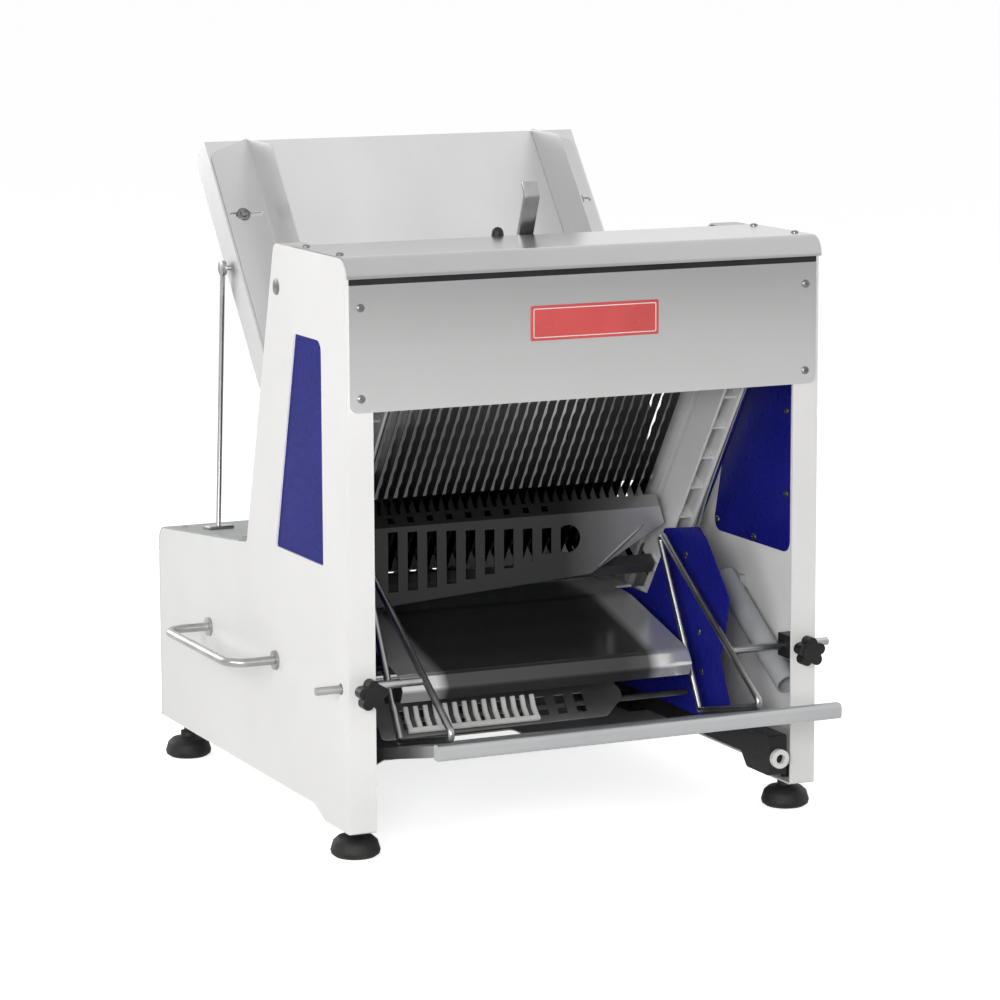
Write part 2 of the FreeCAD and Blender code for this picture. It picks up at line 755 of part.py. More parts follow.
def front_tray():
    """Tray that takes the slices: a sloping floor between lips, and a front bar."""
    bar = [(dim("bar_front"), dim("bar_low"), 5), (dim("bar_back"), dim("bar_low"), 3),
           (dim("bar_back"), dim("bar_high"), 3), (dim("bar_front"), dim("bar_high"), 5)]
    body = plate("front_tray", "side", bar, -dim("bar_half_width"), 2 * dim("bar_half_width"))
    wide = dim("tray_half_width")
    floor = [(-126, 149.9), (100, 97.1), (100, 98.7), (-126, 151.5)]
    sketch = new_sketch(body, "side", -wide)
    polygon(sketch, floor)
    pad(body, sketch, 2 * wide)
    lip = [(-126, 150), (-126, 138), (60, 96, 20), (86, 84, 8), (106, 84, 8), (106, 97.4)]
    for side in (-1, 1):
        sketch = new_sketch(body, "side", side * wide)
        polygon(sketch, lip)
        pad(body, sketch, 2.5, side > 0)
    round_corners(body, "side", lip)
    drill(body, "side", [(dim("tray_pivot_depth"), dim("tray_pivot_height"),
                          dim("tray_pin") + 0.06)], -wide - 1, 2 * wide + 2, True)
    finish(body, "front_tray")


def rail_front(side):
    """Depth of a rail's front end: the right one passes the panel's front face."""
    return -8 if side > 0 else 80


def base_rail(name, side):
    """Black longitudinal beam with the hinge pin of the tray and a foot at its front end."""
    back = dim("base_depth") - 6
    front = rail_front(side)
    corners = [(front, 46, 4), (front + 54, 46, 6), (front + 68, 62, 6), (320, 62, 6), (345, 50),
               (back, 50), (back, 72), (350, 72, 6), (325, 92, 6), (116, 92), (110, 102, 6),
               (86, 102, 6), (80, 92)]
    if side > 0:
        corners.append((front, 92, 4))
    start = side * dim("rail_offset")
    body = plate(f"{name}_base_rail", "side", corners, start, dim("rail_breadth"), side < 0)
    pin = new_sketch(body, "side", start)
    circle(pin, dim("tray_pivot_depth"), dim("tray_pivot_height"), dim("tray_pin"))
    pad(body, pin, 8, side > 0)
    finish(body, f"{name}_base_rail")


def rail_bushes():
    """White bushes on the front ends of the rails."""
    bushes = []
    for side in (-1, 1):
        across = side * (dim("rail_offset") + dim("rail_breadth") / 2)
        front = rail_front(side)
        ring = cylinder(11, 7, ALONG_Y, across, front - 7, 66)
        hole = cylinder(5.3, 8, ALONG_Y, across, front - 7.5, 66)
        bushes.append(cut(ring, hole))
    finish(group(*bushes), "rail_end_bushes")


def brace_tubes():
    """Sloping tubes inside the side panels with a black bolt at their upper ends."""
    tubes = []
    for side in (-1, 1):
        low = Vector(side * 262, 22, 143)
        high = Vector(side * 262, 176, 242)
        direction = (high - low).normalize()
        length = (high - low).Length
        outer = Part.makeCylinder(13.5, length, low, direction)
        inner = Part.makeCylinder(11.5, length - 6, low - direction, direction)
        bolt = Part.makeCylinder(7, 5, high, direction)
        lug = Part.makeBox(8, 20, 14, Vector(side * 279 - 4, high.y - 14, high.z - 12))
        tubes.append(outer.cut(inner).multiFuse([bolt, lug]))
    finish(shaped(Part.makeCompound(tubes)), "brace_tubes")


def outfeed_guide(name, side):
    """Closed wire triangle beside the slices, on a rod that slides through the side panel."""
    across = side * mm("stay_offset")
    start = Vector(across, 20, 122.1)
    points = [start, Vector(across, -57, 140), Vector(across, 201, 303),
              Vector(across, 91, 105.6), start]
    wire = shaped(tube_along(points, [6, 5, 6], mm("stay_radius")))
    length = mm("half_width") + 29 - mm("stay_offset")
    carrier = cylinder(dim("stay_rod_radius"), length, ALONG_X,
                       across if side > 0 else across - length,
                       dim("stay_rod_depth"), dim("stay_rod_height"))
    finish(joined(wire, carrier), f"{name}_outfeed_guide")


def clamp_blocks():
    """Blocks behind the legs that guide the wire guides' rods and take the knobs' studs."""
    blocks = []
    for side in (-1, 1):
        outer = side * (dim("half_width") - dim("skin"))
        start = outer if side < 0 else outer - 26
        block = box(26, 34, 26, start, dim("skin"), dim("stay_rod_height") - 13)
        bore = cylinder(dim("stay_rod_radius") + 0.06, 40, ALONG_X, start - 7,
                        dim("stay_rod_depth"), dim("stay_rod_height"))
        socket = cylinder(4.08, 18, ALONG_Y, side * dim("knob_offset"), dim("skin") - 2,
                          dim("stay_rod_height"))
        blocks.append(cut(block, bore, socket))
    finish(group(*blocks), "guide_clamp_blocks")


def star_knob(name, side):
    """Five-lobed clamping knob with its stud."""
    across = mm("knob_offset") * side
    height = mm("stay_rod_height")
    lobes = []
    for index in range(5):
        angle = math.radians(90 + 72 * index)
        reach = mm("knob_radius") - 6.5
        lobes.append(cylinder(6.5, 14, ALONG_Y, across + reach * math.cos(angle), -26,
                              height + reach * math.sin(angle)))
    hub = cylinder(11.5, 15, ALONG_Y, across, -27, height)
    neck = cylinder(8, 11.7, ALONG_Y, across, -12.1, height)
    stud = cylinder(4, 18, ALONG_Y, across, -0.5, height)
    finish(joined(hub, neck, stud, *lobes), f"{name}_star_knob")


# ---------------------------------------------------------------- blade pack

def mirrored_start(side, near, width):
    """Lowest X of a layer that starts at the distance near from the middle on either side."""
    return near if side > 0 else -near - width


def blade_frame(letter, front):
    """One blade frame: two ribbed cast rails with guide eyes, arms and cross bars.

    The arms of both frames run in the free layer between the two pairs of connecting rods.
    """
    thick = dim("rail_thickness")
    near = -(dim("rail_gap") + thick) if front else dim("rail_gap")
    inner = dim("rail_inner")
    wide = dim("rail_width")
    low = dim("rail_low")
    length = dim("rail_top") - low
    middle = near + thick / 2
    arm = (215.75, 4.5)
    solids = []
    for side in (-1, 1):
        parts = []
        start = inner if side > 0 else -inner - wide
        block = box(wide, thick, length, start, near, low)
        recess = box(wide - 7, thick - 5, length - 10, start + 3.5,
                     near - 1 if front else near + 6, low + 5)
        ribs = [box(wide - 6, thick - 10, 3, start + 3, near + 5, low + 40 + 47 * index)
                for index in range(7)]
        parts.append(joined(cut(block, recess), *ribs))
        for up in (-168, 150):
            eye = cylinder(13, 30, Rotation(), side * dim("rod_offset"), middle, up)
            bore = cylinder(dim("rod_radius") + 0.08, 40, Rotation(), side * dim("rod_offset"),
                            middle, up - 5)
            web = box(8, 16, 30, side * (inner + wide) - (0 if side > 0 else 8), middle - 8, up)
            parts.append(cut(joined(eye, web), bore))
        arm_start = mirrored_start(side, *arm)
        parts.append(box(arm[1], 14, 67, arm_start, middle - 7, -245))
        solids.append(joined(*parts))
    for up in (186, -176):
        solids.append(box(2 * inner, 16, 15, -inner, near + 4 if front else near + 24,
                          up if front else up - 4))
    finish(group(*solids), f"blade_frame_{letter}", "blades")


def blades(letter, front, first, count):
    """Serrated blades of one frame with the tangs that hang them on its cross bars."""
    pitch = mm("blade_pitch")
    thick = mm("blade_thickness")
    half = mm("blade_width") / 2
    top = mm("blade_top")
    low = mm("blade_low")
    bar = -29 if front else 29
    teeth = 16
    tooth = (top - low) / teeth
    shapes = []
    for index in range(count):
        across = pitch * (first + 2 * index) - thick / 2
        outline = [Vector(across, -half, low), Vector(across, half, low)]
        for notch in range(teeth):
            outline.append(Vector(across, half - 2.4, low + tooth * (notch + 0.5)))
            outline.append(Vector(across, half, low + tooth * (notch + 1)))
        outline.append(Vector(across, -half, top))
        blade = Part.Face(Part.makePolygon(outline + outline[:1])).extrude(Vector(thick, 0, 0))
        shapes.append(blade)
        for up in (188, -174) if front else (184, -178):
            begin = min(bar, -half + 2)
            reach = max(bar, half - 2) - begin
            shapes.append(Part.makeBox(1.6, reach, 9, Vector(across + thick, begin, up)))
    finish(shaped(Part.makeCompound(shapes)), f"blades_{letter}", "blades")


def guide_rods():
    """Round rods on which both blade frames slide, with the brackets that hold them."""
    racks = []
    for side in (-1, 1):
        rods = [cylinder(dim("rod_radius"), 448, Rotation(), side * dim("rod_offset"), near, -230)
                for near in (-dim("rod_spread"), dim("rod_spread"))]
        start = side * dim("rod_offset") - (10 if side > 0 else 26)
        plates = [box(36, 76, 14, start, -38, up) for up in (-240, 214)]
        racks.append(joined(*rods, *plates))
    finish(group(*racks), "frame_guide_rods", "blades")


# ---------------------------------------------------------------- drive

def crankshaft():
    """Crankshaft: a straight middle, then a pin for frame A and a pin for frame B at each end."""
    start = dim("web_start")
    throw = dim("crank_throw")
    parts = [cylinder(dim("shaft_radius"), 2 * start, ALONG_X, -start, 0, 0)]
    for side in (-1, 1):
        for near, width, radius, offset in (
                (start, 8, dim("web_radius"), 0), (start + 8, 10, dim("pin_radius"), -throw),
                (start + 18, 4, dim("web_radius"), 0), (start + 22, 10, dim("pin_radius"), throw),
                (start + 32, 2, dim("pin_radius") + 3, throw)):
            parts.append(cylinder(radius, width, ALONG_X, mirrored_start(side, near, width),
                                  offset, 0))
    finish(joined(*parts), "crankshaft", "crank")


def connecting_rods(letter, near, sign):
    """Pair of rods from the crank pins up towards the arms of a blade frame."""
    big = (sign * dim("crank_throw"), size(0))
    small = (sign * dim("rod_spread"), dim("rod_length"))
    pair = []
    for side in (-1, 1):
        start = mirrored_start(side, size(near), 8)
        shank = [(big[0] - 7, 10), (big[0] + 7, 10), (small[0] + 6, small[1] - 6),
                 (small[0] - 6, small[1] - 6)]
        body = plate(f"connecting_rod_{letter}", "side", shank, start, 8)
        for centre, radius in ((big, 16), (small, 10)):
            ring = new_sketch(body, "side", start)
            circle(ring, centre[0], centre[1], radius)
            pad(body, ring, 8)
        drill(body, "side", [(big[0], big[1], dim("pin_radius") + 0.06), (small[0], small[1], 5)],
              start - 1, 10, True)
        pair.append(body)
    finish(group(*pair), f"connecting_rods_{letter}", "crank")


def pulley(radius, start_radius, depth, height):
    """Flat belt pulley between two flanges, bored for its shaft."""
    start = dim("pulley_start")
    width = dim("pulley_width")
    drum = cylinder(radius, width, ALONG_X, start, depth, height)
    flanges = [cylinder(radius + dim("pulley_flange"), 3, ALONG_X, start + offset, depth, height)
               for offset in (0, width - 3)]
    bore = cylinder(start_radius, width + 2, ALONG_X, start - 1, depth, height)
    return cut(joined(drum, *flanges), bore)


def drive():
    """Pulleys, belt, motor, and the stands: motor cradle and bearing blocks of the crankshaft."""
    crank = (dim("crank_depth"), dim("crank_height"))
    motor = (dim("motor_depth"), dim("motor_height"))
    finish(pulley(dim("big_pulley"), dim("shaft_radius"), *crank), "crank_pulley")
    shaft_start = dim("pulley_start") - 4
    shaft = cylinder(dim("motor_shaft"), dim("motor_start") - 0.5 - shaft_start, ALONG_X,
                     shaft_start, *motor)
    finish(joined(pulley(dim("small_pulley"), dim("motor_shaft"), *motor), shaft), "motor_pulley")
    belt = belt_loop(dim("belt_gap")).extrude(Vector(14, 0, 0))
    finish(shaped(belt), "drive_belt")
    start = dim("motor_start")
    length = dim("motor_length")
    radius = dim("motor_radius")
    barrel = cylinder(radius, length, ALONG_X, start, *motor)
    fins = [cylinder(radius + 3, 8, ALONG_X, start + 20 + 30 * index, *motor)
            for index in range(6)]
    hood = cylinder(radius - 6, 22, ALONG_X, start + length, *motor)
    finish(joined(barrel, hood, *fins), "motor")
    pan = dim("base_underside") + 2 * dim("skin")
    cradle = box(length - 40, 90, 44, start + 20, dim("motor_depth") - 45, pan)
    seat = cylinder(radius + 3, length, ALONG_X, start, *motor)
    blocks = [cut(cradle, seat)]
    for side in (-1, 1):
        near = mirrored_start(side, size(176), 18)
        stand = box(18, 64, dim("crank_height") - pan, near, dim("crank_depth") - 32, pan)
        cap = cylinder(26, 18, ALONG_X, near, *crank)
        bore = cylinder(dim("shaft_radius") + 0.06, 20, ALONG_X, near - 1, *crank)
        blocks.append(cut(joined(stand, cap), bore))
    finish(group(*blocks), "drive_stands")


def belt_loop(gap):
    """Face of the belt round both pulleys: its outer loop less its inner loop."""
    crank = (mm("crank_depth"), mm("crank_height"))
    motor = (mm("motor_depth"), mm("motor_height"))
    distance = math.dist(crank, motor)
    heading = math.atan2(motor[1] - crank[1], motor[0] - crank[0])
    across = mm("pulley_start") + (mm("pulley_width") - 14) / 2
    loops = []
    for extra in (gap.value, gap.value + mm("belt_thickness")):
        large = mm("big_pulley") + extra
        small = mm("small_pulley") + extra
        wrap = math.acos((large - small) / distance)

        def point(centre, radius, angle):
            return Vector(across, centre[0] + radius * math.cos(angle),
                          centre[1] + radius * math.sin(angle))

        first = point(crank, large, heading + wrap)
        second = point(crank, large, heading - wrap)
        third = point(motor, small, heading - wrap)
        fourth = point(motor, small, heading + wrap)
        loops.append(Part.Wire([
            Part.Arc(first, point(crank, large, heading + math.pi), second).toShape(),
            Part.LineSegment(second, third).toShape(),
            Part.Arc(third, point(motor, small, heading), fourth).toShape(),
            Part.LineSegment(fourth, first).toShape(),
        ]))
    return Part.Face(loops[1]).cut(Part.Face(loops[0])).Faces[0]


# ---------------------------------------------------------------- lever, press and fittings

def press():
    """Cross shaft, the lever on it and the press that follows the end of the loaf."""
    half = dim("half_width") + 0.8
    shaft = cylinder(dim("press_radius"), 2 * half, ALONG_X, -half, 0, 0)
    finish(group(shaft), "press_shaft", "press")
    wide = dim("press_half_width")
    reach = dim("press_reach")
    left = dim("lever_offset") - 9
    corners = [(-wide, 6), (left - 2.4, 6), (left - 2.4, -13), (left + 20.4, -13),
               (left + 20.4, 6), (wide, 6), (wide, -reach, 10), (-wide, -reach, 10)]
    body = plate("press_comb", "front", corners, -dim("press_radius"), 2, True)
    openings = []
    for index in range(12):
        centre = 24 * (index - 5.5)
        openings.append([(centre - 7, -reach.value - 1), (centre + 7, -reach.value - 1),
                         (centre + 7, -70), (centre - 7, -70)])
    sketch = new_sketch(body, "front", 0)
    for outline in openings:
        points = [Vector(*corner, 0) for corner in outline]
        for start, end in zip(points, points[1:] + points[:1]):
            sketch.addGeometry(Part.LineSegment(start, end), False)
    pocket(body, sketch, 20)
    finish(body, "press_comb", "press")
    bar = [(-3, 8), (3, 8), (3, 99, 5), (13, 108), (10, 112), (-3, 100, 8)]
    lever = plate("press_lever", "side", bar, left, 18)
    hub = new_sketch(lever, "side", left - 2)
    circle(hub, 0, 0, 15)
    pad(lever, hub, 22)
    drill(lever, "side", [(0, 0, dim("press_radius"))], left - 3, 24, True)
    finish(lever, "press_lever", "lever")


def carry_handle(name, side):
    """Bent tube handle on round flanges."""
    wall = side * mm("half_width")
    reach = side * (mm("half_width") + mm("handle_reach"))
    height = mm("handle_height")
    front = mm("handle_front")
    back = mm("handle_back")
    points = [Vector(wall, front, height), Vector(reach, front, height),
              Vector(reach, back, height), Vector(wall, back, height)]
    tube = shaped(tube_along(points, [22, 22], mm("handle_radius")))
    flanges = [cylinder(11, 3, ALONG_X, wall if side > 0 else wall - 3, depth, height)
               for depth in (front, back)]
    finish(joined(tube, *flanges), f"{name}_carry_handle")


def foot(name, side, depth, leg):
    """Domed rubber foot under a nut on a threaded stud, turned about its own axis."""
    top = leg - 0.3
    radius = dim("foot_radius")
    stud = dim("foot_stud")
    across = side * dim("foot_offset")
    body = new_body(f"{name}_foot")
    sketch = new_sketch(body, "front", 0)
    nut = size(30.4)
    profile = [(0, 0), (radius - 5, 0), (radius - 1, 3), (radius, 7), (radius - 3, 17),
               (radius - 8, 21.5), (10, 23.5), (9, 24), (9, nut), (stud, nut),
               (stud, top + 16), (0, top + 16)]
    polygon(sketch, profile)
    turned = body.newObject("PartDesign::Revolution", body.Name + "Turned")
    turned.Profile = sketch
    turned.ReferenceAxis = (sketch, ["V_Axis"])
    turned.Angle = 360
    body.Tip = turned
    doc.recompute()
    piece = finish(body, f"{name}_foot")
    bind(piece, ".Placement.Base.x", across)
    bind(piece, ".Placement.Base.y", dim("machine_shift") + depth)


def switches():
    """Switch box on the right side with its two buttons, and the gland of the power lead."""
    wall = dim("half_width")
    case = box(17, 44, 84, wall, 84, 118)
    bores = [cylinder(9.3, 14, ALONG_X, wall + 5, 106, height) for height in (140, 180)]
    finish(cut(case, *bores), "switch_box")
    for label, height in (("stop_button", 140), ("start_button", 180)):
        cap = cylinder(9, 13, ALONG_X, wall + 9, 106, height)
        finish(group(cap), label)
    nut = cylinder(11, 5, ALONG_X, wall, 560, 84)
    neck = cylinder(8, 14, ALONG_X, wall, 560, 84)
    bore = cylinder(3.5, 14, ALONG_X, wall + 3, 560, 84)
    finish(cut(joined(nut, neck), bore), "cable_gland")


# ---------------------------------------------------------------- build and export

def build():
    for name, side in SIDES:
        side_panel(name, side)
        window_plate(name, side)
        cheek_plate(name, side)
        chute_guide(name, side)
        base_rail(name, side)
        outfeed_guide(name, side)
        star_knob(name, side)
        carry_handle(name, side)
        foot(f"front_{name}", side, dim("foot_front"), dim("leg_underside"))
        foot(f"rear_{name}", side, dim("foot_back"), dim("base_underside"))
    top_cover()
    front_sheets()
    base_sheets()
    cross_bars()
    lever_stop()
    chute()
    chute_guide_screws()
    finish(group(chute_stay(-1), chute_stay(1)), "chute_stays")
    comb_plate()
    lower_comb()
    comb_fingers()
    outfeed_slide()
    front_tray()
    rail_bushes()
    brace_tubes()
    clamp_blocks()
    for letter, front, first, count in (("a", True, -15, 16), ("b", False, -14, 15)):
        blade_frame(letter, front)
        blades(letter, front, first, count)
    guide_rods()
    crankshaft()
    connecting_rods("a", 207, -1)
    connecting_rods("b", 221, 1)
    drive()
    press()
    switches()


def check_and_export():
    doc.recompute()
    for thing in doc.Objects:
        if "Invalid" in thing.State or "Error" in thing.State:
            raise RuntimeError(f"{thing.Name} ({thing.Label}) failed: {thing.State}")
    os.makedirs("parts", exist_ok=True)
    for piece in pieces:
        shape = piece.Shape
        if shape.isNull() or not shape.isValid():
            raise RuntimeError(f"{piece.Label} has no valid shape")
        shape.exportStep(f"parts/{piece.Label}.step")
        print(f"{piece.Label}: {len(shape.Solids)} solids, {shape.Volume / 1000:.1f} cm3")


build()
check_and_export()
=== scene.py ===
import bpy
import bmesh
import math
from mathutils import Matrix, Vector


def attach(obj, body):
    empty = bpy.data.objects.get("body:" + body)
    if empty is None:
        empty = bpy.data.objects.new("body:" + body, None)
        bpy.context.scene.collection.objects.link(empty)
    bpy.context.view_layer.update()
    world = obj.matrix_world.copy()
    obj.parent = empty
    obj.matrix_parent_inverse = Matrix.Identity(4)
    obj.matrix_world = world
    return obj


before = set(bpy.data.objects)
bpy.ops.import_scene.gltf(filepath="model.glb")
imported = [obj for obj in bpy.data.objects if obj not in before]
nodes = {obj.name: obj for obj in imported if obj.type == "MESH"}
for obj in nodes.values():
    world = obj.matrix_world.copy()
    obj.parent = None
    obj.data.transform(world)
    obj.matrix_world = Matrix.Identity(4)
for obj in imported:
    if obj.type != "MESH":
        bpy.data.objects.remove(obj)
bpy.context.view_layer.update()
print("frame loaded:", len(nodes), "nodes")

machineShift = -0.2315   # where the machine's front face lies, in metres
nearZero = 1e-7
sides = (("left", -1), ("right", 1))


def at(across, depth, height):
    # millimetres from the middle, from the front face and from the counter
    return Vector((across / 1000, depth / 1000 + machineShift, height / 1000))


def link(name, mesh):
    piece = bpy.data.objects.new(name, mesh)
    bpy.context.scene.collection.objects.link(piece)
    return piece


def linkShape(name, bm):
    mesh = bpy.data.meshes.new(name)
    bm.to_mesh(mesh)
    bm.free()
    return link(name, mesh)


def settle(piece, material, body="root"):
    piece.data.materials.clear()
    piece.data.materials.append(material)
    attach(piece, body)
    return piece


# finishes: clouds of tone, and a fine grain that sways the roughness and the relief

grainValues = dict(cloudDetail=4, grainDetail=3, roughness=0.55, tone=(0.35, 0.65), sheen=(0.3, 0.7),
                   warmth=0.995, gloss=0.5, edge=1.0)


def startFinish(name, metallic, roughness):
    material = bpy.data.materials.new(name)
    material.use_nodes = True
    shader = material.node_tree.nodes["Principled BSDF"]
    shader.inputs["Metallic"].default_value = metallic
    shader.inputs["Roughness"].default_value = roughness
    return material, shader


def stretchedNoise(material, stretch, scale, detail):
    tree = material.node_tree
    place = tree.nodes.new("ShaderNodeTexCoord")
    mapping = tree.nodes.new("ShaderNodeMapping")
    mapping.inputs["Scale"].default_value = stretch
    noise = tree.nodes.new("ShaderNodeTexNoise")
    noise.inputs["Scale"].default_value = scale
    noise.inputs["Detail"].default_value = detail
    noise.inputs["Roughness"].default_value = grainValues["roughness"]
    tree.links.new(place.outputs["Object"], mapping.inputs["Vector"])
    tree.links.new(mapping.outputs["Vector"], noise.inputs["Vector"])
    return noise.outputs["Fac"]


def tint(material, shader, factor, dark, light):
    ramp = material.node_tree.nodes.new("ShaderNodeValToRGB")
    for element, position, colour in zip(ramp.color_ramp.elements, grainValues["tone"], (dark, light)):
        element.position = position
        element.color = (*colour, 1)
    material.node_tree.links.new(factor, ramp.inputs["Fac"])
    material.node_tree.links.new(ramp.outputs["Color"], shader.inputs["Base Color"])


def sheen(material, shader, factor, low, high):
    spread = material.node_tree.nodes.new("ShaderNodeMapRange")
    spread.inputs["From Min"].default_value = grainValues["sheen"][0]
    spread.inputs["From Max"].default_value = grainValues["sheen"][1]
    spread.inputs["To Min"].default_value = low
    spread.inputs["To Max"].default_value = high
    material.node_tree.links.new(factor, spread.inputs["Value"])
    material.node_tree.links.new(spread.outputs["Result"], shader.inputs["Roughness"])


def relief(material, shader, factor, strength, depth):
    bump = material.node_tree.nodes.new("ShaderNodeBump")
    bump.inputs["Strength"].default_value = strength
    bump.inputs["Distance"].default_value = depth
    material.node_tree.links.new(factor, bump.inputs["Height"])
    material.node_tree.links.new(bump.outputs["Normal"], shader.inputs["Normal"])


